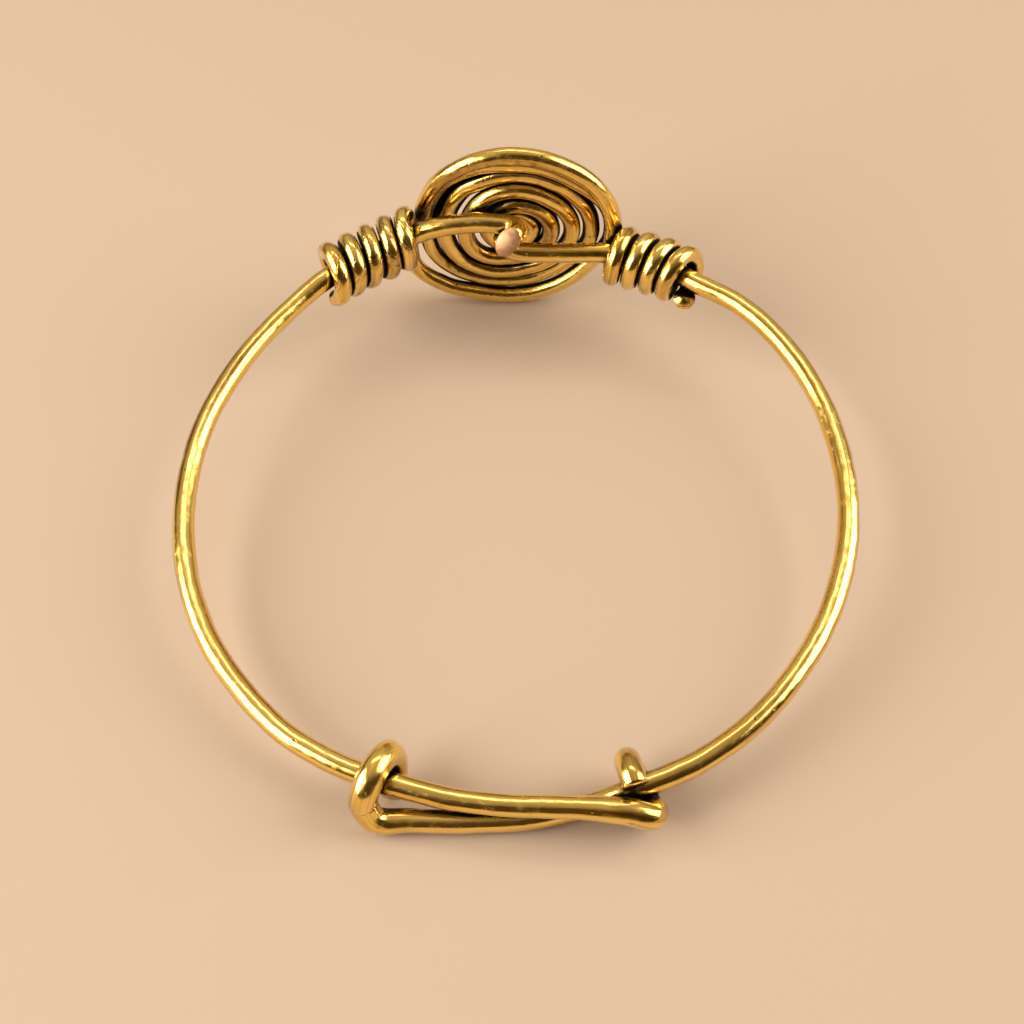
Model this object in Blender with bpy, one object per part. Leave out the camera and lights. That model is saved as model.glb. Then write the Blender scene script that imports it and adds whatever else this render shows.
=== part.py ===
"""Spiral bangle: two thick brass wires form an adjustable ring, and a thinner wire makes the spiral disc.

The bangle lies on a table, Z = 0. The disc stands on its rim at +Y and the two sliding knots lie at -Y.
Each wire is one closed solid: a round bevel along its own route.
"""

import math

import bpy
from mathutils import Vector

MM = 0.001

# Wires
BAND_WIRE = 2.0 * MM
COIL_WIRE = 1.5 * MM

# Ring that the two band wires share
RING_RADIUS = 30.0 * MM
RING_CENTRE_Y = -0.9 * MM
SIDE_TILT = math.radians(0.75)

# Sliding knots: each band wire ends in one turn round the other
KNOT_GAP = 0.3 * MM
LEFT_KNOT_ANGLE = -159.0
LEFT_KNOT_START = math.radians(-5)
LEFT_KNOT_SWEEP = math.radians(273)
LEFT_KNOT_ADVANCE = 1.3 * MM
RIGHT_KNOT_ANGLE = 159.4
RIGHT_KNOT_START = math.radians(-25)
RIGHT_KNOT_SWEEP = math.radians(-263)
RIGHT_KNOT_ADVANCE = 0.7 * MM

# Spiral disc
SPIRAL_START_RADIUS = 2.8 * MM
SPIRAL_GAP = 0.7 * MM
DISC_X = -0.45 * MM
DISC_LEAN = math.radians(3.0)
CROSS_GAP = 0.45 * MM

# Wraps of coil wire round the band wires, on both sides of the disc
WRAP_GAP = 0.5 * MM
WRAP_SPACING = 0.54 * MM
LEFT_WRAP_START = math.radians(120)
LEFT_WRAP_TURNS = 4.6
LEFT_WRAP_SWING = 0.25 * MM
RIGHT_WRAP_START = math.radians(30)
RIGHT_WRAP_TURNS = 4.3

# Flared end of the left wire, turned towards the wrist
PEG_FLARE = 1.2

# Curve fineness
SIDE_RESOLUTION = 2
FINE_STEP = 0.25 * MM
BAND_STEP = 2.4 * MM
COIL_STEP = 1.6 * MM
BEND_STEP = math.radians(12)

SPIRAL_PITCH = COIL_WIRE + SPIRAL_GAP
SPIRAL_GROWTH = 3.2
DISC_RADIUS = SPIRAL_START_RADIUS + SPIRAL_PITCH * SPIRAL_GROWTH
DISC_Z = DISC_RADIUS + COIL_WIRE / 2
KNOT_RADIUS = BAND_WIRE + KNOT_GAP
KNOT_Z = BAND_WIRE / 2 + KNOT_RADIUS
NEAR_Y = RING_CENTRE_Y - RING_RADIUS * 0.9
CROSS_Y = RING_CENTRE_Y + RING_RADIUS * 0.943
RING_SLOPE = (DISC_Z - KNOT_Z) / (CROSS_Y - NEAR_Y)
DISC_Y = CROSS_Y + BAND_WIRE / 2 + COIL_WIRE / 2 + CROSS_GAP
WRAP_RADIUS = BAND_WIRE / 2 + WRAP_GAP + COIL_WIRE / 2
WRAP_PITCH = COIL_WIRE + WRAP_SPACING
RIGHT_WRAP_X = DISC_X + DISC_RADIUS * 0.96
LEFT_WRAP_X = DISC_X - DISC_RADIUS * 1.857

# Routes. Each row: degrees round the ring from the disc, then how far outside the ring circle
# and how far above the ring's plane the wire runs, both in band wire diameters.
LEFT_ARM = [
    (-36.5, 0.10, 0.25),
    (-45.0, 0.00, 0.08),
    (-60.0, -0.10, 0.00),
    (-78.0, -0.07, 0.00),
    (-98.0, 0.00, 0.00),
    (-118.0, 0.10, 0.00),
    (-138.0, 0.06, 0.00),
    (-149.0, -0.08, 0.04),
    (-158.4, -0.24, 0.10),
    (-165.5, -0.29, 0.15),
    (-170.5, -0.23, 0.20),
    (-178.4, -0.15, 0.28),
    (-186.1, 0.05, 0.40),
    (-191.4, 0.33, 0.46),
    (-194.9, 0.62, 0.46),
    (-197.7, 0.90, 0.40),
    (-200.4, 1.19, 0.10),
]
RIGHT_ARM = [
    (37.0, -0.32, -0.10),
    (46.0, -0.05, 0.00),
    (58.0, 0.05, 0.00),
    (75.0, 0.02, 0.00),
    (95.0, 0.00, 0.00),
    (115.0, -0.02, 0.00),
    (135.0, 0.00, 0.00),
    (148.0, -0.02, -0.03),
    (153.1, -0.09, -0.05),
    (159.2, -0.12, 0.00),
    (161.7, -0.15, -0.18),
    (163.9, -0.22, -0.43),
    (166.5, -0.25, -0.64),
    (169.4, -0.29, -0.80),
    (172.4, -0.29, -0.92),
    (176.8, -0.19, -0.97),
    (181.6, -0.08, -0.96),
    (189.4, 0.20, -0.92),
    (196.3, 0.62, -0.89),
    (198.8, 0.88, -0.87),
    (200.5, 1.03, -0.62),
]

# Crossings in front of the disc. Each row: sideways in disc radii, then towards the wrist and up,
# both in band wire diameters, from the middle of the disc.
LEFT_CROSSING = [
    (-0.015, 1.20, 1.25),
    (0.03, 0.72, 1.27),
    (0.02, 0.25, 1.30),
    (-0.07, 0.03, 1.30),
    (-0.20, 0.00, 1.33),
    (-0.35, 0.00, 1.38),
    (-0.60, 0.00, 1.23),
    (-0.80, 0.00, 0.98),
    (-0.96, 0.05, 0.69),
    (-1.12, 0.25, 0.40),
    (-1.30, 0.65, 0.17),
    (-1.48, 1.07, 0.03),
    (-1.66, 1.60, -0.10),
]
RIGHT_CROSSING = [
    (-0.105, 0.22, 0.60),
    (-0.10, 0.22, 0.20),
    (-0.03, 0.22, -0.20),
    (0.12, 0.22, -0.38),
    (0.32, 0.22, -0.42),
    (0.58, 0.24, -0.38),
    (0.92, 0.30, -0.32),
    (1.05, 0.45, -0.34),
    (1.235, 0.75, -0.34),
    (1.44, 1.15, -0.32),
    (1.63, 1.67, -0.30),
]

# Spiral. Each row: turns from the top of the innermost turn, how far the spiral has grown in pitches,
# and how far it stands back from the disc's plane in coil wire diameters.
SPIRAL = [
    (-0.92, -0.70, 0.70),
    (-0.80, -0.70, 0.70),
    (-0.66, -0.64, 0.66),
    (-0.52, -0.56, 0.60),
    (-0.38, -0.45, 0.52),
    (-0.25, -0.28, 0.44),
    (-0.12, -0.08, 0.36),
    (0.00, 0.03, 0.34),
    (0.20, 0.30, 0.34),
    (0.30, 0.46, 0.29),
    (0.40, 0.50, 0.20),
    (0.51, 0.59, 0.12),
    (0.56, 0.80, 0.12),
    (0.61, 1.02, 0.14),
    (0.65, 1.09, 0.16),
    (0.69, 1.05, 0.18),
    (0.82, 0.82, 0.22),
    (1.00, 0.93, 0.34),
    (1.10, 0.96, 0.37),
    (1.18, 1.14, 0.39),
    (1.28, 1.40, 0.37),
    (1.36, 1.40, 0.26),
    (1.45, 1.44, 0.24),
    (1.51, 1.63, 0.25),
    (1.58, 1.90, 0.28),
    (1.64, 2.03, 0.36),
    (1.70, 2.02, 0.50),
    (1.80, 1.82, 0.80),
    (1.86, 1.82, 1.02),
    (1.91, 1.74, 0.82),
    (2.00, 1.70, 0.82),
    (2.08, 1.71, 0.80),
    (2.12, 1.78, 0.75),
    (2.16, 1.90, 0.70),
    (2.24, 2.20, 0.63),
    (2.30, 2.32, 0.58),
    (2.36, 2.16, 0.52),
    (2.42, 2.18, 0.50),
    (2.46, 2.29, 0.48),
    (2.50, 2.40, 0.52),
    (2.56, 2.66, 0.60),
    (2.61, 2.96, 0.74),
    (2.66, 3.08, 0.84),
    (2.70, 2.94, 1.00),
    (2.74, 2.70, 1.25),
    (2.78, 2.54, 1.36),
    (2.82, 2.53, 1.22),
    (2.86, 2.56, 1.00),
    (2.91, 2.50, 0.75),
    (3.00, 2.42, 0.48),
    (3.07, 2.42, 0.48),
    (3.12, 2.50, 0.50),
    (3.16, 2.68, 0.55),
    (3.20, 2.96, 0.66),
    (3.24, 3.17, 0.67),
    (3.28, 3.27, 0.62),
    (3.35, 3.00, 0.36),
    (3.44, 3.04, 0.06),
    (3.50, 3.18, 0.03),
    (3.56, 3.36, 0.05),
    (3.61, 3.82, 0.18),
    (3.66, 4.18, 0.44),
    (3.69, 3.98, 0.68),
    (3.72, 3.55, 0.68),
    (3.755, 3.12, 0.44),
    (3.78, 2.98, 0.36),
    (3.82, 2.97, 0.30),
    (3.87, 3.05, 0.17),
    (3.91, 3.10, 0.03),
    (4.00, 3.14, 0.00),
    (4.07, 3.14, -0.07),
    (4.14, 3.25, -0.18),
    (4.20, 3.27, -0.32),
    (4.24, 3.24, -0.42),
]


def ring_place(degrees, out, lift):
    """A point near the ring, from its row in an arm."""
    angle = math.radians(degrees)
    reach = RING_RADIUS + out * BAND_WIRE
    x = reach * math.sin(angle)
    y = RING_CENTRE_Y + reach * math.cos(angle)
    z = KNOT_Z + (y - NEAR_Y) * RING_SLOPE + x * math.tan(SIDE_TILT) + lift * BAND_WIRE
    return Vector((x, y, z))


def crossing_place(side, inward, up):
    """A point of a band wire in front of the disc, from its row in a crossing."""
    return Vector((DISC_X + side * DISC_RADIUS, CROSS_Y - inward * BAND_WIRE, DISC_Z + up * BAND_WIRE))


def spiral_place(turns, growth, set_back):
    """A point of the spiral, clockwise as seen from the wrist."""
    radius = SPIRAL_START_RADIUS + growth * SPIRAL_PITCH
    angle = 2 * math.pi * turns
    up = radius * math.cos(angle)
    back = set_back * COIL_WIRE
    return Vector((
        DISC_X + radius * math.sin(angle),
        DISC_Y - up * math.sin(DISC_LEAN) + back * math.cos(DISC_LEAN),
        DISC_Z + up * math.cos(DISC_LEAN) + back * math.sin(DISC_LEAN),
    ))


def smooth(points, step):
    """Points about one step apart on a centripetal Catmull-Rom curve through the given points."""
    ends = [2 * points[0] - points[1]] + list(points) + [2 * points[-1] - points[-2]]
    result = []
    for p0, p1, p2, p3 in zip(ends, ends[1:], ends[2:], ends[3:]):
        t1 = (p1 - p0).length ** 0.5
        t2 = t1 + (p2 - p1).length ** 0.5
        t3 = t2 + (p3 - p2).length ** 0.5
        count = max(1, round((p2 - p1).length / step))
        for index in range(count):
            t = t1 + (t2 - t1) * index / count
            a1 = p0.lerp(p1, t / t1)
            a2 = p1.lerp(p2, (t - t1) / (t2 - t1))
            a3 = p2.lerp(p3, (t - t2) / (t3 - t2))
            b1 = a1.lerp(a2, t / t2)
            b2 = a2.lerp(a3, (t - t1) / (t3 - t1))
            result.append(b1.lerp(b2, (t - t1) / (t2 - t1)))
    result.append(points[-1].copy())
    return result


def thin(points, step):
    """The points needed to follow a route: one at each step of length, and more where it bends."""
    kept = [points[0]]
    heading = (points[1] - points[0]).normalized()
    for before, point in zip(points[1:], points[2:]):
        direction = (point - before).normalized()
        if (before - kept[-1]).length >= step or direction.angle(heading, 0) >= BEND_STEP:
            kept.append(before)
            heading = direction
    return kept + [points[-1]]


def normals_at(before, after):
    """The outward and upward normals of a band wire's piece."""
    along = (after - before).normalized()
    outward = Vector((before.x, before.y, 0)).normalized()
    outward = (outward - along * outward.dot(along)).normalized()
    upward = along.cross(outward)
    if upward.z < 0:
        upward = -upward
    return outward, upward


def knot_turn(route, degrees, start, sweep, advance):
    """A turn of band wire round another wire's route. Angles start outside the ring and rise over the top."""
    place = ring_place(degrees, 0, 0)
    index = min(range(1, len(route) - 1), key=lambda i: (route[i] - place).length)
    outward, upward = normals_at(route[index], route[index + 1])
    along = (route[index + 1] - route[index]).normalized()
    count = math.ceil(abs(sweep) / BEND_STEP)
    points = []
    for step in range(count + 1):
        share = step / count
        angle = start + sweep * share
        offset = outward * math.cos(angle) + upward * math.sin(angle)
        points.append(route[index] + offset * KNOT_RADIUS + along * advance * (share - 0.5))
    return points


def wrap_turns(route, start_x, start, turns, swing):
    """Turns of coil wire round a band wire's route, from a place beside the disc and at +Y.

    Angles start outside the ring and go down under it. Swing slants the turns on the wrist side.
    """
    lengths = [0.0]
    for before, after in zip(route, route[1:]):
        lengths.append(lengths[-1] + (after - before).length)
    far = [i for i in range(1, len(route) - 1) if route[i].y > 0]
    first = min(far, key=lambda i: abs(route[i].x - start_x))
    count = round(turns * 2 * math.pi / BEND_STEP)
    points = []
    for step in range(count + 1):
        angle = start + 2 * math.pi * turns * step / count
        travel = lengths[first] + WRAP_PITCH * turns * step / count - swing * math.sin(angle)
        at = next(i for i, length in enumerate(lengths) if length >= travel)
        centre = route[at - 1].lerp(route[at], (travel - lengths[at - 1]) / (lengths[at] - lengths[at - 1]))
        outward, upward = normals_at(route[at - 12], route[at + 12])
        points.append(centre + (outward * math.cos(angle) - upward * math.sin(angle)) * WRAP_RADIUS)
    return points


def arm_route(crossing, arm):
    return [crossing_place(*row) for row in crossing] + [ring_place(*row) for row in arm]


def wire_routes():
    """The route of each wire, smooth and thinned."""
    left = arm_route(LEFT_CROSSING, LEFT_ARM)
    right = arm_route(RIGHT_CROSSING, RIGHT_ARM)
    left_line = smooth(left, FINE_STEP)
    right_line = smooth(right, FINE_STEP)
    left += knot_turn(right_line, RIGHT_KNOT_ANGLE, RIGHT_KNOT_START, RIGHT_KNOT_SWEEP, RIGHT_KNOT_ADVANCE)
    right += knot_turn(left_line, LEFT_KNOT_ANGLE, LEFT_KNOT_START, LEFT_KNOT_SWEEP, LEFT_KNOT_ADVANCE)
    spiral = [spiral_place(*row) for row in smooth([Vector(row) for row in SPIRAL], 0.03)]
    spiral += wrap_turns(right_line, RIGHT_WRAP_X, RIGHT_WRAP_START, RIGHT_WRAP_TURNS, 0.0)
    wrap = wrap_turns(left_line[::-1], LEFT_WRAP_X, LEFT_WRAP_START, LEFT_WRAP_TURNS, LEFT_WRAP_SWING)
    return {
        "left_band_wire": (thin(smooth(left, FINE_STEP), BAND_STEP), BAND_WIRE),
        "right_band_wire": (thin(smooth(right, FINE_STEP), BAND_STEP), BAND_WIRE),
        "spiral_wire": (thin(smooth(spiral, FINE_STEP), COIL_STEP), COIL_WIRE),
        "left_wrap": (thin(smooth(wrap, FINE_STEP), COIL_STEP), COIL_WIRE),
    }


def brass(name, colour, roughness):
    material = bpy.data.materials.new(name)
    material.use_nodes = True
    shader = material.node_tree.nodes["Principled BSDF"]
    shader.inputs["Base Color"].default_value = (*colour, 1)
    shader.inputs["Metallic"].default_value = 1
    shader.inputs["Roughness"].default_value = roughness
    return material


def wire_object(name, points, diameter, material, collection):
    """A curve with a round bevel and filled ends."""
    curve = bpy.data.curves.new(name, "CURVE")
    curve.dimensions = "3D"
    curve.bevel_depth = diameter / 2
    curve.bevel_resolution = SIDE_RESOLUTION
    curve.use_fill_caps = True
    spline = curve.splines.new("POLY")
    spline.points.add(len(points) - 1)
    for place, point in zip(points, spline.points):
        point.co = (*place, 1)
        point.radius = 1
    spline.use_smooth = True
    curve.materials.append(material)
    collection.objects.link(bpy.data.objects.new(name, curve))
    return spline


def build():
    for obj in list(bpy.data.objects):
        bpy.data.objects.remove(obj)
    collection = bpy.data.collections.new("spiral_bangle")
    bpy.context.scene.collection.children.link(collection)
    looks = {
        "left_band_wire": brass("left_band_brass", (0.72, 0.46, 0.14), 0.2),
        "right_band_wire": brass("right_band_brass", (0.70, 0.45, 0.14), 0.2),
        "spiral_wire": brass("spiral_brass", (0.68, 0.43, 0.13), 0.22),
        "left_wrap": brass("left_wrap_brass", (0.66, 0.41, 0.12), 0.24),
    }
    for name, (points, diameter) in wire_routes().items():
        spline = wire_object(name, points, diameter, looks[name], collection)
        if name == "left_band_wire":
            spline.points[0].radius = PEG_FLARE


if __name__ == "__main__":
    build()
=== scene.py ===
"""Looks of the spiral bangle: four hand-bent brass wires with draw lines, dents, pits and shade painted into
the creases.

The bangle lies on a pale surface. Lengths are in metres, in the frame of the solids.
"""

import math

import bpy
import numpy as np
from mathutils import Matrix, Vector
from mathutils.bvhtree import BVHTree
from mathutils.kdtree import KDTree


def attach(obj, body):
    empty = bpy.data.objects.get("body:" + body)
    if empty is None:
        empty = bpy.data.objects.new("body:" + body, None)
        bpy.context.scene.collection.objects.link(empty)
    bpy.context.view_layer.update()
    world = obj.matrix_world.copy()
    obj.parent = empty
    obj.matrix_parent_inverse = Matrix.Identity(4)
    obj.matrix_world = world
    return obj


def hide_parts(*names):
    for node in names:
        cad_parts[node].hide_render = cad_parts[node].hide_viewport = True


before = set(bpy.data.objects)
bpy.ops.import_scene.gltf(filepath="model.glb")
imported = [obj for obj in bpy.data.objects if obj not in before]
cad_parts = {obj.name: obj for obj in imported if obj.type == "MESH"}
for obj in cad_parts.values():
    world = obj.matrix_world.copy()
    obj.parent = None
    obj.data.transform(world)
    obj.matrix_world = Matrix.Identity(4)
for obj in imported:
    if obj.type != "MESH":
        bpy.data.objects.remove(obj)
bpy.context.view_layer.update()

MM = 0.001

# Wires
BAND_WIRE = 2.0 * MM
COIL_WIRE = 1.5 * MM

# Ring that the two band wires share
RING_RADIUS = 30.0 * MM
RING_CENTRE_Y = -0.9 * MM
SIDE_TILT = math.radians(0.75)

# Sliding knots: each band wire ends in one turn round the other
KNOT_GAP = 0.3 * MM
LEFT_KNOT_ANGLE = -159.0
LEFT_KNOT_START = math.radians(-5)
LEFT_KNOT_SWEEP = math.radians(273)
LEFT_KNOT_ADVANCE = 1.3 * MM
RIGHT_KNOT_ANGLE = 159.4
RIGHT_KNOT_START = math.radians(-25)
RIGHT_KNOT_SWEEP = math.radians(-263)
RIGHT_KNOT_ADVANCE = 0.7 * MM

# Spiral disc
SPIRAL_START_RADIUS = 2.8 * MM
SPIRAL_GAP = 0.7 * MM
DISC_X = -0.45 * MM
DISC_LEAN = math.radians(3.0)
CROSS_GAP = 0.45 * MM

# Wraps of coil wire round the band wires, on both sides of the disc
WRAP_GAP = 0.5 * MM
WRAP_SPACING = 0.54 * MM
LEFT_WRAP_START = math.radians(120)
LEFT_WRAP_TURNS = 4.6
LEFT_WRAP_SWING = 0.30 * MM
RIGHT_WRAP_START = math.radians(30)
RIGHT_WRAP_TURNS = 4.3

# The right wrap's end stands off the turns: how far, and the share that each of its last points takes
WRAP_TAIL = Vector((0.36, -0.1, 0.5)) * MM
WRAP_TAIL_SHARES = (0.25, 0.6, 1.0)

# Fineness. SPIRAL_STEP is in the units of the spiral's rows, and NORMAL_REACH is how far along a band
# wire its direction is read for the wraps.
FINE_STEP = 0.2 * MM
SPIRAL_STEP = 0.03
KNOT_STEP = math.radians(12)
NORMAL_REACH = 3.0 * MM
BAND_SIDES = 32
COIL_SIDES = 28
# Points closer than this are merged
WELD = 0.001 * MM
# A direction that no wire starts along, from which the normals carried along a wire begin
ANY_SIDE = (0.31, 0.17, 0.93)

# Rims of the wire ends
BAND_RIM = 0.3 * MM
COIL_RIM = 0.25 * MM
SPIRAL_INNER_RIM = 0.3 * MM

# Hand-made unevenness: the scale of the dents, and their depth
WIDE_DENTS = (3.2 * MM, 0.10 * MM)
SMALL_DENTS = (1.1 * MM, 0.03 * MM)

# Shade painted into creases: how far each vertex looks for metal that closes it off, in how many directions,
# and how far off its own surface it starts
CREVICE_REACH = 2.2 * MM
CREVICE_RAYS = 20
CREVICE_LIFT = 0.03 * MM

SPIRAL_PITCH = COIL_WIRE + SPIRAL_GAP
SPIRAL_GROWTH = 3.2
DISC_RADIUS = SPIRAL_START_RADIUS + SPIRAL_PITCH * SPIRAL_GROWTH
DISC_Z = DISC_RADIUS + COIL_WIRE / 2
KNOT_RADIUS = BAND_WIRE + KNOT_GAP
KNOT_Z = BAND_WIRE / 2 + KNOT_RADIUS
NEAR_Y = RING_CENTRE_Y - RING_RADIUS * 0.9
CROSS_Y = RING_CENTRE_Y + RING_RADIUS * 0.943
RING_SLOPE = (DISC_Z - KNOT_Z) / (CROSS_Y - NEAR_Y)
DISC_Y = CROSS_Y + BAND_WIRE / 2 + COIL_WIRE / 2 + CROSS_GAP
WRAP_RADIUS = BAND_WIRE / 2 + WRAP_GAP + COIL_WIRE / 2
WRAP_PITCH = COIL_WIRE + WRAP_SPACING
RIGHT_WRAP_X = DISC_X + DISC_RADIUS * 0.96
LEFT_WRAP_X = DISC_X - DISC_RADIUS * 1.857

# Routes. Each row: degrees round the ring from the disc, then how far outside the ring circle
# and how far above the ring's plane the wire runs, both in band wire diameters.
LEFT_ARM = [
    (-36.5, 0.10, 0.25),
    (-45.0, 0.00, 0.08),
    (-60.0, -0.10, 0.00),
    (-78.0, -0.07, 0.00),
    (-98.0, 0.00, 0.00),
    (-118.0, 0.10, 0.00),
    (-138.0, 0.06, 0.00),
    (-149.0, -0.08, 0.04),
    (-158.4, -0.24, 0.10),
    (-165.5, -0.29, 0.15),
    (-170.5, -0.23, 0.20),
    (-178.4, -0.15, 0.28),
    (-186.1, 0.05, 0.40),
    (-191.4, 0.33, 0.46),
    (-194.9, 0.62, 0.46),
    (-197.7, 0.90, 0.40),
    (-200.4, 1.19, 0.10),
]
RIGHT_ARM = [
    (37.0, -0.32, -0.10),
    (46.0, -0.05, 0.00),
    (58.0, 0.05, 0.00),
    (75.0, 0.02, 0.00),
    (95.0, 0.00, 0.00),
    (115.0, -0.02, 0.00),
    (135.0, 0.00, 0.00),
    (148.0, -0.02, -0.03),
    (153.1, -0.09, -0.05),
    (159.2, -0.12, 0.00),
    (161.7, -0.15, -0.18),
    (163.9, -0.22, -0.43),
    (166.5, -0.25, -0.64),
    (169.4, -0.29, -0.80),
    (172.4, -0.29, -0.92),
    (176.8, -0.19, -0.97),
    (181.6, -0.08, -0.96),
    (189.4, 0.20, -0.92),
    (196.3, 0.62, -0.89),
    (198.8, 0.88, -0.87),
    (200.5, 1.03, -0.62),
]

# Crossings in front of the disc. Each row: sideways in disc radii, then towards the wrist and up,
# both in band wire diameters, from the middle of the disc.
LEFT_CROSSING = [
    (-0.065, 1.24, 1.24),
    (0.0, 0.72, 1.30),
    (0.005, 0.25, 1.31),
    (-0.07, 0.03, 1.30),
    (-0.20, 0.00, 1.33),
    (-0.35, 0.00, 1.38),
    (-0.60, 0.00, 1.23),
    (-0.80, 0.00, 0.98),
    (-0.96, 0.05, 0.69),
    (-1.12, 0.25, 0.40),
    (-1.30, 0.65, 0.17),
    (-1.48, 1.07, 0.03),
    (-1.66, 1.60, -0.10),
]
RIGHT_CROSSING = [
    (-0.105, 0.22, 0.60),
    (-0.10, 0.22, 0.20),
    (-0.03, 0.22, -0.20),
    (0.12, 0.22, -0.38),
    (0.32, 0.22, -0.42),
    (0.58, 0.24, -0.38),
    (0.92, 0.30, -0.32),
    (1.05, 0.45, -0.34),
    (1.235, 0.75, -0.34),
    (1.44, 1.15, -0.32),
    (1.63, 1.67, -0.30),
]

# Spiral. Each row: turns from the top of the innermost turn, how far the spiral has grown in pitches,
# and how far it stands back from the disc's plane in coil wire diameters.
SPIRAL = [
    (-1.08, -0.66, 0.62),
    (-0.94, -0.62, 0.60),
    (-0.80, -0.52, 0.52),
    (-0.66, -0.34, 0.47),
    (-0.52, -0.26, 0.38),
    (-0.38, -0.02, 0.28),
    (-0.25, 0.00, 0.28),
    (-0.12, -0.01, 0.32),
    (0.00, 0.03, 0.34),
    (0.20, 0.30, 0.34),
    (0.30, 0.46, 0.29),
    (0.40, 0.50, 0.20),
    (0.51, 0.59, 0.12),
    (0.56, 0.80, 0.12),
    (0.61, 1.02, 0.14),
    (0.65, 1.09, 0.16),
    (0.69, 1.05, 0.18),
    (0.82, 0.82, 0.22),
    (1.00, 0.93, 0.34),
    (1.10, 0.96, 0.37),
    (1.18, 1.14, 0.39),
    (1.28, 1.40, 0.37),
    (1.36, 1.40, 0.26),
    (1.45, 1.44, 0.24),
    (1.51, 1.63, 0.25),
    (1.58, 1.90, 0.28),
    (1.64, 2.03, 0.36),
    (1.70, 2.02, 0.50),
    (1.80, 1.78, 0.78),
    (1.86, 1.72, 0.88),
    (1.91, 1.62, 0.76),
    (2.00, 1.60, 0.80),
    (2.08, 1.64, 0.79),
    (2.12, 1.78, 0.75),
    (2.16, 1.90, 0.70),
    (2.24, 2.20, 0.63),
    (2.30, 2.32, 0.58),
    (2.36, 2.16, 0.52),
    (2.42, 2.18, 0.50),
    (2.46, 2.29, 0.48),
    (2.50, 2.40, 0.52),
    (2.56, 2.66, 0.60),
    (2.61, 2.96, 0.74),
    (2.66, 3.08, 0.84),
    (2.70, 2.94, 1.00),
    (2.74, 2.70, 1.25),
    (2.78, 2.54, 1.36),
    (2.82, 2.53, 1.22),
    (2.86, 2.56, 1.00),
    (2.91, 2.50, 0.75),
    (3.00, 2.42, 0.48),
    (3.07, 2.42, 0.48),
    (3.12, 2.50, 0.50),
    (3.16, 2.68, 0.55),
    (3.20, 2.96, 0.66),
    (3.24, 3.17, 0.67),
    (3.28, 3.27, 0.62),
    (3.35, 3.00, 0.36),
    (3.44, 3.04, 0.06),
    (3.50, 3.18, 0.03),
    (3.56, 3.36, 0.05),
    (3.61, 3.82, 0.18),
    (3.66, 4.18, 0.44),
    (3.69, 3.98, 0.68),
    (3.72, 3.55, 0.68),
    (3.755, 3.12, 0.44),
    (3.78, 2.98, 0.36),
    (3.82, 2.97, 0.30),
    (3.87, 3.05, 0.17),
    (3.91, 3.10, 0.03),
    (4.00, 3.14, 0.00),
    (4.07, 3.14, -0.07),
    (4.14, 3.25, -0.18),
    (4.20, 3.27, -0.32),
    (4.24, 3.24, -0.42),
]

# Girth. Each row: distance along the wire in its own diameters, from its start or, where it is
# negative, from its end, and the wire's thickness there as a share of its diameter.
LEFT_BAND_GIRTH = [
    (0.0, 1.18),
    (0.6, 1.10),
    (1.6, 1.00),
    (-17.0, 1.00),
    (-13.5, 0.93),
    (-9.0, 0.97),
    (-7.5, 1.08),
    (-5.5, 1.20),
    (-3.5, 1.14),
    (-1.5, 1.16),
    (-0.1, 1.10),
]
RIGHT_BAND_GIRTH = [
    (0.0, 1.02),
    (1.6, 1.00),
    (-8.5, 1.00),
    (-7.0, 1.08),
    (-5.0, 1.22),
    (-2.5, 1.16),
    (-0.1, 1.08),
]
RIGHT_WRAP_GIRTH = [
    (-38.0, 1.15),
    (-2.5, 1.16),
    (-0.1, 1.42),
]
LEFT_WRAP_GIRTH = [
    (0.0, 1.12),
    (3.0, 1.13),
    (-0.1, 1.14),
]

# Girth of the spiral. Each row: turns, as above, and the wire's thickness there as a share of its diameter.
SPIRAL_GIRTH = [
    (-1.08, 1.05),
    (-0.70, 1.18),
    (0.20, 1.22),
    (0.60, 1.18),
    (0.90, 1.22),
    (1.10, 1.20),
    (1.40, 1.12),
    (1.70, 1.20),
    (1.83, 1.32),
    (1.90, 1.27),
    (2.10, 1.24),
    (2.25, 1.14),
    (2.75, 1.12),
    (3.00, 1.16),
    (3.60, 1.13),
    (4.00, 1.18),
    (4.24, 1.16),
]

# Slanted shear cut at the start of the left band wire: its middle from the wire's start, the way it
# faces, and the spare metal that it takes off
CUT_BACK = 0.05 * BAND_WIRE
CUT_FACING = (-0.24, -0.77, 0.58)
SHEAR_SPARE = 1.2 * MM
# The stretch of wire that the cut may touch: how far round its middle, and how far towards the disc
CUT_REACH = 1.1 * BAND_WIRE
CUT_DEPTH = 0.65 * BAND_WIRE
# The cut's narrow rim, and how far the face inside it stands out
CUT_RIM = 0.05 * BAND_WIRE
CUT_CROWN = 0.03 * BAND_WIRE

# Studio
FLOOR_SIZE = 4.0
FLOOR_Z = -0.1 * MM
FLOOR_COLOUR = (0.52, 0.395, 0.285, 1)
# The sky goes from dim to bright towards one side, between two shares of facing it
SKY_SIDE = (0, 0.5, 0.87)
DIM_SKY_AT = 0.30
DIM_SKY = (0.07, 0.042, 0.018, 1)
BRIGHT_SKY_AT = 0.90
BRIGHT_SKY = (0.62, 0.50, 0.36, 1)
# Softboxes. Each row: name, place, size and power in watts.
LIGHT_AIM = Vector((0, 0, 0.01))
LIGHT_COLOUR = (1.0, 0.95, 0.90)
SOFTBOXES = [
    ("left_softbox", (-0.46, -0.13, 0.26), (0.48, 0.46), 4.9),
    ("right_softbox", (0.45, 0.04, 0.28), (0.36, 0.50), 2.7),
    ("back_softbox", (0.0, 0.25, 0.52), (0.40, 0.08), 0.35),
]

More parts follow.
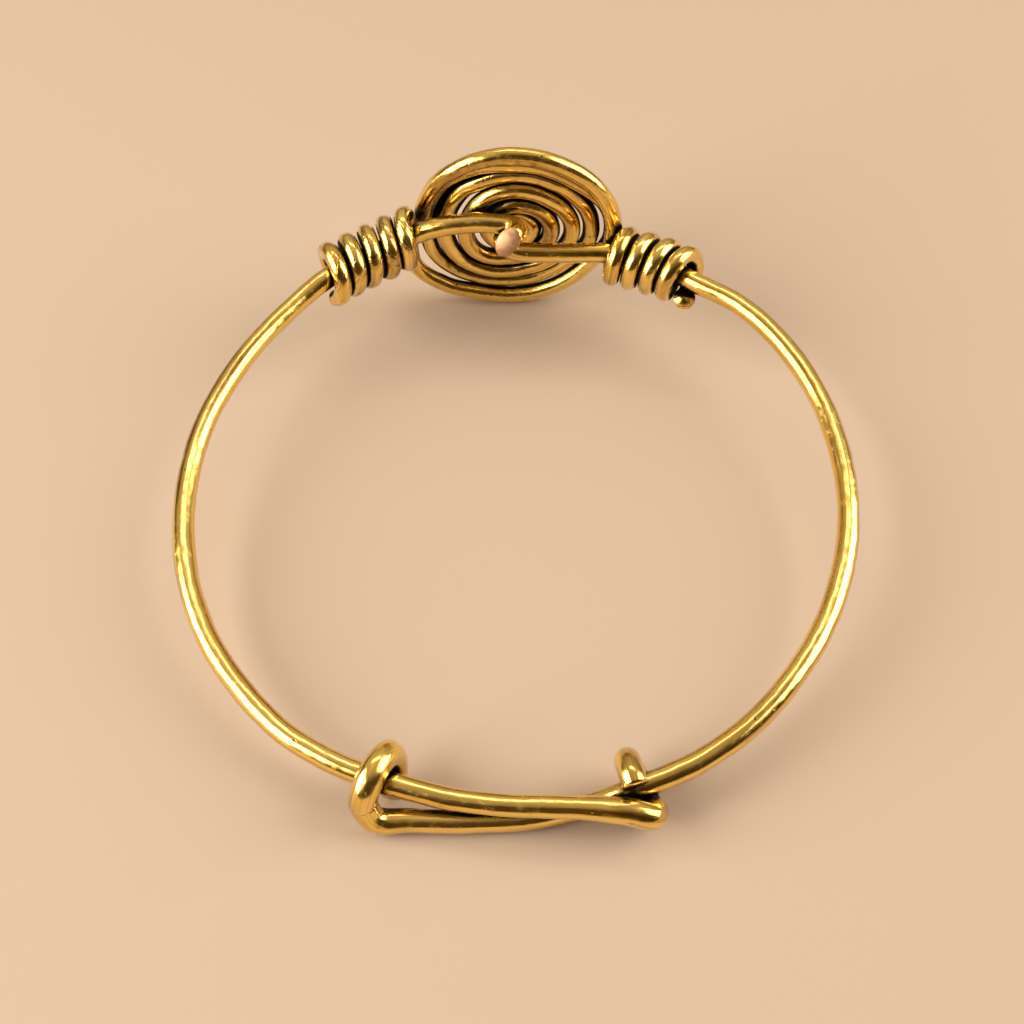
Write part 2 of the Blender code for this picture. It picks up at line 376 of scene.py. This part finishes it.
# Camera at the photo's viewing angle
CAMERA_PLACE = Vector((0.962, -88.26, 119.00)) * MM
CAMERA_AIM = Vector((-0.232, -3.369, 6.872)) * MM
FOCAL_PIXELS = 1567
IMAGE_PIXELS = 1024
SENSOR_WIDTH = 36
CLIP_START = 0.005


def ring_place(degrees, out, lift):
    """A point near the ring, from its row in an arm."""
    angle = math.radians(degrees)
    reach = RING_RADIUS + out * BAND_WIRE
    x = reach * math.sin(angle)
    y = RING_CENTRE_Y + reach * math.cos(angle)
    z = KNOT_Z + (y - NEAR_Y) * RING_SLOPE + x * math.tan(SIDE_TILT) + lift * BAND_WIRE
    return Vector((x, y, z))


def crossing_place(side, inward, up):
    """A point of a band wire in front of the disc, from its row in a crossing."""
    return Vector((DISC_X + side * DISC_RADIUS, CROSS_Y - inward * BAND_WIRE, DISC_Z + up * BAND_WIRE))


def spiral_place(turns, growth, set_back):
    """A point of the spiral, clockwise as seen from the wrist."""
    radius = SPIRAL_START_RADIUS + growth * SPIRAL_PITCH
    angle = 2 * math.pi * turns
    up = radius * math.cos(angle)
    back = set_back * COIL_WIRE
    return Vector((
        DISC_X + radius * math.sin(angle),
        DISC_Y - up * math.sin(DISC_LEAN) + back * math.cos(DISC_LEAN),
        DISC_Z + up * math.cos(DISC_LEAN) + back * math.sin(DISC_LEAN),
    ))


def smooth(points, step):
    """Points about one step apart on a centripetal Catmull-Rom curve through the given points."""
    ends = [2 * points[0] - points[1]] + list(points) + [2 * points[-1] - points[-2]]
    result = []
    for p0, p1, p2, p3 in zip(ends, ends[1:], ends[2:], ends[3:]):
        t1 = (p1 - p0).length ** 0.5
        t2 = t1 + (p2 - p1).length ** 0.5
        t3 = t2 + (p3 - p2).length ** 0.5
        count = max(1, round((p2 - p1).length / step))
        for index in range(count):
            t = t1 + (t2 - t1) * index / count
            a1 = p0.lerp(p1, t / t1)
            a2 = p1.lerp(p2, (t - t1) / (t2 - t1))
            a3 = p2.lerp(p3, (t - t2) / (t3 - t2))
            b1 = a1.lerp(a2, t / t2)
            b2 = a2.lerp(a3, (t - t1) / (t3 - t1))
            result.append(b1.lerp(b2, (t - t1) / (t2 - t1)))
    result.append(points[-1].copy())
    return result


def normals_at(before, after):
    """The outward and upward normals of a band wire's piece."""
    along = (after - before).normalized()
    outward = Vector((before.x, before.y, 0)).normalized()
    outward = (outward - along * outward.dot(along)).normalized()
    upward = along.cross(outward)
    if upward.z < 0:
        upward = -upward
    return outward, upward


def knot_turn(route, degrees, start, sweep, advance):
    """A turn of band wire round another wire's route. Angles start outside the ring and rise over the top."""
    place = ring_place(degrees, 0, 0)
    index = min(range(1, len(route) - 1), key=lambda i: (route[i] - place).length)
    outward, upward = normals_at(route[index], route[index + 1])
    along = (route[index + 1] - route[index]).normalized()
    count = math.ceil(abs(sweep) / KNOT_STEP)
    points = []
    for step in range(count + 1):
        share = step / count
        angle = start + sweep * share
        offset = outward * math.cos(angle) + upward * math.sin(angle)
        points.append(route[index] + offset * KNOT_RADIUS + along * advance * (share - 0.5))
    return points


def wrap_turns(route, start_x, start, turns, swing):
    """Turns of coil wire round a band wire's route, from a place beside the disc.

    Angles start outside the ring and go down under it. Swing slants the turns on the wrist side.
    """
    lengths = [0.0]
    for before, after in zip(route, route[1:]):
        lengths.append(lengths[-1] + (after - before).length)
    far = [i for i in range(1, len(route) - 1) if route[i].y > 0]
    first = min(far, key=lambda i: abs(route[i].x - start_x))
    reach = round(NORMAL_REACH / FINE_STEP)
    count = round(turns * 2 * math.pi / KNOT_STEP)
    points = []
    for step in range(count + 1):
        angle = start + 2 * math.pi * turns * step / count
        travel = lengths[first] + WRAP_PITCH * turns * step / count - swing * math.sin(angle)
        at = next(i for i, length in enumerate(lengths) if length >= travel)
        centre = route[at - 1].lerp(route[at], (travel - lengths[at - 1]) / (lengths[at] - lengths[at - 1]))
        outward, upward = normals_at(route[at - reach], route[at + reach])
        points.append(centre + (outward * math.cos(angle) - upward * math.sin(angle)) * WRAP_RADIUS)
    return points


def arm_route(crossing, arm):
    return [crossing_place(*row) for row in crossing] + [ring_place(*row) for row in arm]


def wire_routes():
    """The smooth route of each wire."""
    left = arm_route(LEFT_CROSSING, LEFT_ARM)
    right = arm_route(RIGHT_CROSSING, RIGHT_ARM)
    left_line = smooth(left, FINE_STEP)
    right_line = smooth(right, FINE_STEP)
    left += knot_turn(right_line, RIGHT_KNOT_ANGLE, RIGHT_KNOT_START, RIGHT_KNOT_SWEEP, RIGHT_KNOT_ADVANCE)
    right += knot_turn(left_line, LEFT_KNOT_ANGLE, LEFT_KNOT_START, LEFT_KNOT_SWEEP, LEFT_KNOT_ADVANCE)
    spiral = [spiral_place(*row) for row in smooth([Vector(row) for row in SPIRAL], SPIRAL_STEP)]
    spiral += wrap_turns(right_line, RIGHT_WRAP_X, RIGHT_WRAP_START, RIGHT_WRAP_TURNS, 0.0)
    for share, point in zip(WRAP_TAIL_SHARES, spiral[-3:]):
        point += WRAP_TAIL * share
    wrap = wrap_turns(left_line[::-1], LEFT_WRAP_X, LEFT_WRAP_START, LEFT_WRAP_TURNS, LEFT_WRAP_SWING)
    return [smooth(route, FINE_STEP) for route in (left, right, spiral, wrap)]


def girths(route, diameter, rows):
    """The wire's girth at each point of its route, eased between the rows."""
    lengths = np.cumsum([0.0] + [(after - before).length for before, after in zip(route, route[1:])])
    places = [row[0] * diameter if row[0] >= 0 else lengths[-1] + row[0] * diameter for row in rows]
    return np.interp(lengths, places, [row[1] for row in rows])


def spiral_girth():
    """The girth rows of the whole spiral wire, with turns turned into distances."""
    rows = smooth([Vector(row) for row in SPIRAL], SPIRAL_STEP)
    places = [spiral_place(*row) for row in rows]
    lengths = np.cumsum([0.0] + [(after - before).length for before, after in zip(places, places[1:])])
    distances = np.interp([row[0] for row in SPIRAL_GIRTH], [row[0] for row in rows], lengths) / COIL_WIRE
    return [(distance, row[1]) for distance, row in zip(distances, SPIRAL_GIRTH)] + RIGHT_WRAP_GIRTH


def select_only(piece):
    bpy.ops.object.select_all(action="DESELECT")
    piece.select_set(True)
    bpy.context.view_layer.objects.active = piece


def select_cap(piece, end):
    """Selects the flat faces that close the wire at one end."""
    for face in piece.data.polygons:
        face.select = len(face.vertices) > 4 and (face.center - end).length < COIL_WIRE


def bent_wire(name, route, diameter, rows, sides, rims):
    """A round wire along its route, with its ends bevelled by the given rims, as a mesh in place."""
    bpy.ops.object.select_all(action="DESELECT")
    bpy.ops.curve.primitive_bezier_curve_add(location=(0, 0, 0))
    piece = bpy.context.object
    piece.name = name
    curve = piece.data
    curve.dimensions = "3D"
    curve.splines.clear()
    spline = curve.splines.new("POLY")
    spline.points.add(len(route) - 1)
    for point, place, girth in zip(spline.points, route, girths(route, diameter, rows)):
        point.co = (*place, 1)
        point.radius = girth
    curve.bevel_depth = diameter / 2
    curve.bevel_resolution = sides // 2 - 2
    curve.use_fill_caps = True
    bpy.ops.object.convert(target="MESH")
    piece.data.name = name
    bpy.ops.object.mode_set(mode="EDIT")
    bpy.ops.mesh.select_all(action="SELECT")
    bpy.ops.mesh.remove_doubles(threshold=WELD)
    bpy.ops.mesh.normals_make_consistent(inside=False)
    bpy.ops.mesh.select_all(action="DESELECT")
    bpy.ops.mesh.select_mode(type="FACE")
    bpy.ops.object.mode_set(mode="OBJECT")
    for end, rim in zip((route[0], route[-1]), rims):
        if not rim:
            continue
        select_cap(piece, end)
        bpy.ops.object.mode_set(mode="EDIT")
        bpy.ops.mesh.bevel(offset=rim, segments=4, affect="EDGES")
        bpy.ops.mesh.select_all(action="DESELECT")
        bpy.ops.object.mode_set(mode="OBJECT")
    bpy.ops.object.shade_smooth()
    return piece


def dent(piece, scale, depth, number):
    """Soft hand-made unevenness of one scale."""
    texture = bpy.data.textures.new(f"{piece.name}_dents_{number}", "CLOUDS")
    texture.noise_scale = scale
    texture.noise_depth = 1
    select_only(piece)
    modifier = piece.modifiers.new("dents", "DISPLACE")
    modifier.texture = texture
    modifier.texture_coords = "LOCAL"
    modifier.strength = depth
    modifier.mid_level = 0.5
    bpy.ops.object.modifier_apply(modifier="dents")


def carried_frames(route):
    """Two normals at each point of a route, carried along it without twist."""
    points = np.array(route)
    tangents = np.gradient(points, axis=0)
    tangents /= np.linalg.norm(tangents, axis=1)[:, None]
    normal = np.cross(tangents[0], ANY_SIDE)
    firsts = []
    for tangent in tangents:
        normal = normal - tangent * normal.dot(tangent)
        normal /= np.linalg.norm(normal)
        firsts.append(normal)
    firsts = np.array(firsts)
    return points, firsts, np.cross(tangents, firsts)


def grain_of(piece, route):
    """Writes where each vertex lies on the straightened wire, in millimetres, for patterns that follow it."""
    points, firsts, seconds = carried_frames(route)
    lengths = np.concatenate(([0.0], np.cumsum(np.linalg.norm(np.diff(points, axis=0), axis=1))))
    tree = KDTree(len(points))
    for index, point in enumerate(points):
        tree.insert(point, index)
    tree.balance()
    values = []
    for vertex in piece.data.vertices:
        index = tree.find(vertex.co)[1]
        offset = np.array(vertex.co) - points[index]
        values.extend((lengths[index] / MM, offset.dot(firsts[index]) / MM, offset.dot(seconds[index]) / MM))
    layer = piece.data.attributes.new("grain", "FLOAT_VECTOR", "POINT")
    layer.data.foreach_set("vector", values)


def sky_directions(count):
    """Directions over a half sphere about +Z, denser towards the middle."""
    golden = math.pi * (3 - math.sqrt(5))
    directions = []
    for index in range(count):
        height = math.sqrt((index + 0.5) / count)
        wide = math.sqrt(1 - height * height)
        directions.append(Vector((wide * math.cos(golden * index), wide * math.sin(golden * index), height)))
    return directions


def crease_shade_of(pieces, reach, count):
    """Writes how much of its surroundings each vertex has closed off by metal within reach, for the shade
    painted into creases.
    """
    vertices = []
    faces = []
    for piece in pieces:
        first = len(vertices)
        vertices.extend(vertex.co.copy() for vertex in piece.data.vertices)
        faces.extend([first + corner for corner in face.vertices] for face in piece.data.polygons)
    tree = BVHTree.FromPolygons(vertices, faces)
    directions = sky_directions(count)
    for piece in pieces:
        values = []
        for vertex in piece.data.vertices:
            turn = vertex.normal.to_track_quat("Z", "Y")
            start = vertex.co + vertex.normal * CREVICE_LIFT
            closed = 0.0
            for direction in directions:
                distance = tree.ray_cast(start, turn @ direction, reach)[3]
                if distance is not None:
                    closed += 1.0 - 0.5 * distance / reach
            values.append(closed / count)
        layer = piece.data.attributes.new("crease_shade", "FLOAT", "POINT")
        layer.data.foreach_set("value", values)


class Number:
    """A shader value. Arithmetic on it adds Math nodes."""

    def __init__(self, finish, socket):
        self.finish = finish
        self.socket = socket

    def maths(self, operation, *values):
        return self.finish.node("ShaderNodeMath", {"operation": operation}, dict(enumerate(values)))

    def __add__(self, other):
        return self.maths("ADD", self, other)

    def __sub__(self, other):
        return self.maths("SUBTRACT", self, other)

    def __mul__(self, other):
        return self.maths("MULTIPLY", self, other)

    def __rsub__(self, other):
        return self.maths("SUBTRACT", other, self)

    __radd__ = __add__
    __rmul__ = __mul__

    def between(self, low, high):
        """0 below low, 1 above high and eased in between."""
        settings = {"interpolation_type": "SMOOTHSTEP"}
        return self.finish.node("ShaderNodeMapRange", settings, {0: self, 1: low, 2: high})


class Finish:
    """A material's nodes."""

    def __init__(self, name):
        self.material = bpy.data.materials.new(name)
        self.material.use_nodes = True
        self.tree = self.material.node_tree
        self.shader = self.tree.nodes["Principled BSDF"]

    def node(self, kind, settings, inputs, output=0):
        node = self.tree.nodes.new(kind)
        for key, value in settings.items():
            setattr(node, key, value)
        for key, value in inputs.items():
            self.feed(node.inputs[key], value)
        return Number(self, node.outputs[output])

    def feed(self, socket, value):
        if isinstance(value, Number):
            self.tree.links.new(value.socket, socket)
        else:
            socket.default_value = value

    def set(self, name, value):
        self.feed(self.shader.inputs[name], value)

    def blend(self, share, first, second):
        """A colour between two colours."""
        return self.node("ShaderNodeMix", {"data_type": "RGBA"}, {0: share, 6: first, 7: second}, 2)

    def stretched(self, place, scale, shift):
        return self.node("ShaderNodeMapping", {}, {"Vector": place, "Scale": scale, "Location": shift})

    def noise(self, place, scale, detail):
        return self.node("ShaderNodeTexNoise", {}, {"Vector": place, "Scale": scale, "Detail": detail})


# Colours of the metal, and how deep its finest marks are
GOLD = (0.96, 0.70, 0.18, 1)
DEEP_GOLD = (0.84, 0.53, 0.09, 1)
# Olive brown for real tarnish, scrapes and file marks, and also for painted shade in half-closed creases and
# painted dark reflection bands along the wire.
OLIVE_BROWN = (0.28, 0.145, 0.010, 1)
# Near black for the real pits, and also for the shade painted into the deepest creases.
PIT_BLACK_AND_PAINTED_SHADE = (0.005, 0.003, 0.001, 1)
COPPER_PINK = (0.56, 0.32, 0.17, 1)
COPPER_SHADE = (0.36, 0.18, 0.08, 1)
MARK_DEPTH = 0.05 * MM


def worn_brass(name, shift, pitting, creasing, hatching):
    """Polished brass with draw lines along the wire, uneven tarnished patches, pits, shade painted into the
    creases, and dark streaks along the wire that are partly draw-line marks and partly painted reflection
    bands.

    Shift gives each wire its own pattern. Pitting and creasing are thresholds: a lower pitting gives more
    pits, a lower creasing a wider shade painted into the creases. Hatching is how strongly slanted file marks
    show.
    """
    finish = Finish(name)
    grain = finish.node("ShaderNodeAttribute", {"attribute_name": "grain"}, {}, 1)
    crease_shade = finish.node("ShaderNodeAttribute", {"attribute_name": "crease_shade"}, {}, 2)
    # Lines and bands run along the wire: draw lines, and dark streaks that also stand in for painted
    # reflection bands.
    lines = finish.noise(finish.stretched(grain, (0.05, 3.2, 3.2), (shift, 0, 0)), 1.0, 3.0)
    bands = finish.noise(finish.stretched(grain, (0.03, 1.1, 1.1), (shift, 3, 1)), 1.0, 1.0)
    hairs = finish.noise(finish.stretched(grain, (0.35, 11.0, 11.0), (shift, 2, 0)), 1.0, 2.0)
    patches = finish.noise(finish.stretched(grain, (0.16, 0.55, 0.55), (shift, 5, 0)), 1.0, 4.0)
    scrapes = finish.noise(finish.stretched(grain, (1.1, 1.9, 1.9), (shift, 9, 0)), 1.0, 5.0)
    pit_cells = finish.stretched(grain, (0.9, 1.4, 1.4), (shift, 0, 3))
    pit_reach = finish.node("ShaderNodeTexVoronoi", {"feature": "F1"}, {"Vector": pit_cells, "Scale": 1.0})
    pit_kind = finish.noise(pit_cells, 1.6, 0.0)
    pits = (1 - pit_reach.between(0.10, 0.19)) * pit_kind.between(pitting, pitting + 0.04)
    slant = {"Vector": grain, "Rotation": (0.3, 0.2, 0.9), "Scale": (0.22, 1.6, 1.6)}
    cuts = finish.noise(finish.node("ShaderNodeMapping", {"vector_type": "TEXTURE"}, slant), 1.0, 2.0)
    cuts = cuts.between(0.57, 0.66) * hatching
    # Painted shade: where nearby metal closes a vertex off, the colour goes to black and the metal turns
    # matte and loses its coat.
    dark = crease_shade.between(creasing, creasing + 0.20)
    # Real tarnish patches, scrapes and file cuts, plus painted dark reflection bands and painted shade where
    # creases half close.
    tarnish_and_painted_light = patches.between(0.50, 0.72) * 0.40 + scrapes.between(0.58, 0.72) * 0.25
    tarnish_and_painted_light = tarnish_and_painted_light + bands.between(0.54, 0.60) * 0.50 + crease_shade.between(0.14, 0.46) * 0.45 + cuts * 0.5
    tarnish_and_painted_light = tarnish_and_painted_light.between(0.0, 1.05)
    colour = finish.blend(lines.between(0.38, 0.64), GOLD, DEEP_GOLD)
    colour = finish.blend(tarnish_and_painted_light, colour, OLIVE_BROWN)
    colour = finish.blend(pits * 0.9, colour, PIT_BLACK_AND_PAINTED_SHADE)
    colour = finish.blend(dark, colour, PIT_BLACK_AND_PAINTED_SHADE)
    finish.set("Base Color", colour)
    finish.set("Metallic", 1 - dark * 0.4)
    finish.set("Specular IOR Level", 0.1)
    finish.set("Coat Weight", 1 - dark)
    finish.set("Coat Roughness", 0.10)
    roughness = 0.13 + hairs * 0.10 + scrapes.between(0.45, 0.75) * 0.14 + dark * 0.4 + pits * 0.3
    finish.set("Roughness", roughness)
    height = lines * 0.5 + hairs * 0.22 + scrapes * 0.5 - pits * 1.4 - cuts * 0.6
    bump = finish.node("ShaderNodeBump", {}, {"Strength": 0.55, "Distance": MARK_DEPTH, "Height": height})
    finish.set("Normal", bump)
    return finish.material


def cut_copper(name):
    """The raw pink face of a sheared wire end, with shear marks."""
    finish = Finish(name)
    place = finish.node("ShaderNodeTexCoord", {}, {}, 3)
    marks = finish.noise(finish.stretched(place, (700, 700, 1100), (0, 0, 0)), 1.0, 4.0)
    finish.set("Base Color", finish.blend(marks.between(0.40, 0.68), COPPER_PINK, COPPER_SHADE))
    finish.set("Metallic", 0.9)
    finish.set("Roughness", 0.42 + marks * 0.25)
    bump = finish.node("ShaderNodeBump", {}, {"Strength": 0.5, "Distance": MARK_DEPTH, "Height": marks})
    finish.set("Normal", bump)
    return finish.material


def make_bangle():
    left, right, spiral, wrap = wire_routes()
    left = [left[0] + (left[0] - left[1]).normalized() * SHEAR_SPARE] + left
    pieces = [
        bent_wire("left_band", left, BAND_WIRE, LEFT_BAND_GIRTH, BAND_SIDES, (0, BAND_RIM)),
        bent_wire("right_band", right, BAND_WIRE, RIGHT_BAND_GIRTH, BAND_SIDES, (BAND_RIM, BAND_RIM)),
        bent_wire("spiral_coil", spiral, COIL_WIRE, spiral_girth(), COIL_SIDES, (SPIRAL_INNER_RIM, COIL_RIM)),
        bent_wire("left_wrap_coil", wrap, COIL_WIRE, LEFT_WRAP_GIRTH, COIL_SIDES, (COIL_RIM, COIL_RIM)),
    ]
    looks = [
        worn_brass("left_band_brass", 0.0, 0.66, 0.29, 0.0),
        worn_brass("right_band_brass", 40.0, 0.66, 0.29, 0.0),
        worn_brass("spiral_brass", 90.0, 0.62, 0.25, 0.4),
        worn_brass("left_wrap_brass", 140.0, 0.56, 0.22, 1.0),
    ]
    nodes = ["left_band_wire", "right_band_wire", "spiral_wire", "left_wrap"]
    slots = ["left_band_brass", "right_band_brass", "spiral_brass", "left_wrap_brass"]
    for piece, route, look in zip(pieces, (left, right, spiral, wrap), looks):
        dent(piece, *WIDE_DENTS, 1)
        dent(piece, *SMALL_DENTS, 2)
        grain_of(piece, route)
        piece.data.materials.append(look)
    crease_shade_of(pieces, CREVICE_REACH, CREVICE_RAYS)
    for piece, node, slot in zip(pieces, nodes, slots):
        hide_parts(node)
        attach(piece, "root")
    return pieces


def shear_end(piece, end):
    """Cuts the wire's end off on a slant, leaves a narrow rim and gives the cut its own raw material."""
    facing = Vector(CUT_FACING).normalized()
    middle = end + Vector((0, CUT_BACK, 0))
    piece.data.materials.append(cut_copper("peg_cut_face"))
    select_only(piece)
    for vertex in piece.data.vertices:
        near = (vertex.co - middle).length < CUT_REACH
        vertex.select = near and vertex.co.y < middle.y + CUT_DEPTH
    bpy.ops.object.mode_set(mode="EDIT")
    bpy.ops.mesh.select_mode(type="VERT")
    bpy.ops.mesh.bisect(plane_co=middle, plane_no=facing, use_fill=True, clear_outer=True)
    bpy.ops.object.mode_set(mode="OBJECT")
    cut = [face for face in piece.data.polygons if len(face.vertices) > 8 and face.normal.dot(facing) > 0.9
           and (face.center - middle).length < BAND_WIRE]
    for face in piece.data.polygons:
        face.select = False
    for face in cut:
        face.select = True
        face.material_index = 1
    bpy.ops.object.mode_set(mode="EDIT")
    bpy.ops.mesh.select_mode(type="FACE")
    bpy.ops.mesh.inset(thickness=CUT_RIM)
    bpy.ops.transform.translate(value=facing * CUT_CROWN)
    bpy.ops.mesh.select_all(action="DESELECT")
    bpy.ops.object.mode_set(mode="OBJECT")


def soft_light(name, place, size, power):
    data = bpy.data.lights.new(name, "AREA")
    data.shape = "RECTANGLE"
    data.size, data.size_y = size
    data.energy = power
    data.color = LIGHT_COLOUR
    light = bpy.data.objects.new(name, data)
    light.location = place
    light.rotation_euler = (LIGHT_AIM - Vector(place)).to_track_quat("-Z", "Y").to_euler()
    bpy.context.scene.collection.objects.link(light)


def make_floor():
    bpy.ops.object.select_all(action="DESELECT")
    bpy.ops.mesh.primitive_plane_add(size=FLOOR_SIZE, location=(0, 0, FLOOR_Z))
    floor = bpy.context.object
    floor.name = "floor"
    finish = Finish("pale_floor")
    finish.set("Base Color", FLOOR_COLOUR)
    finish.set("Roughness", 0.9)
    floor.data.materials.append(finish.material)


def make_sky():
    """A soft sky, brightest high up on the disc's side."""
    world = bpy.data.worlds.new("studio")
    world.use_nodes = True
    tree = world.node_tree
    place = tree.nodes.new("ShaderNodeTexCoord")
    facing = tree.nodes.new("ShaderNodeVectorMath")
    facing.operation = "DOT_PRODUCT"
    facing.inputs[1].default_value = SKY_SIDE
    ramp = tree.nodes.new("ShaderNodeValToRGB")
    ramp.color_ramp.elements[0].position = DIM_SKY_AT
    ramp.color_ramp.elements[0].color = DIM_SKY
    ramp.color_ramp.elements[1].position = BRIGHT_SKY_AT
    ramp.color_ramp.elements[1].color = BRIGHT_SKY
    tree.links.new(place.outputs["Generated"], facing.inputs[0])
    tree.links.new(facing.outputs["Value"], ramp.inputs[0])
    tree.links.new(ramp.outputs[0], tree.nodes["Background"].inputs["Color"])
    bpy.context.scene.world = world


def make_camera():
    data = bpy.data.cameras.new("camera")
    data.sensor_width = SENSOR_WIDTH
    data.lens = FOCAL_PIXELS / IMAGE_PIXELS * data.sensor_width
    data.clip_start = CLIP_START
    camera = bpy.data.objects.new("camera", data)
    camera.location = CAMERA_PLACE
    camera.rotation_euler = (CAMERA_AIM - CAMERA_PLACE).to_track_quat("-Z", "Y").to_euler()
    bpy.context.scene.collection.objects.link(camera)
    bpy.context.scene.camera = camera


make_camera()
bangle = make_bangle()
shear_end(bangle[0], crossing_place(*LEFT_CROSSING[0]))
make_floor()
make_sky()
for softbox in SOFTBOXES:
    soft_light(*softbox)
bpy.context.scene.view_settings.view_transform = "Standard"
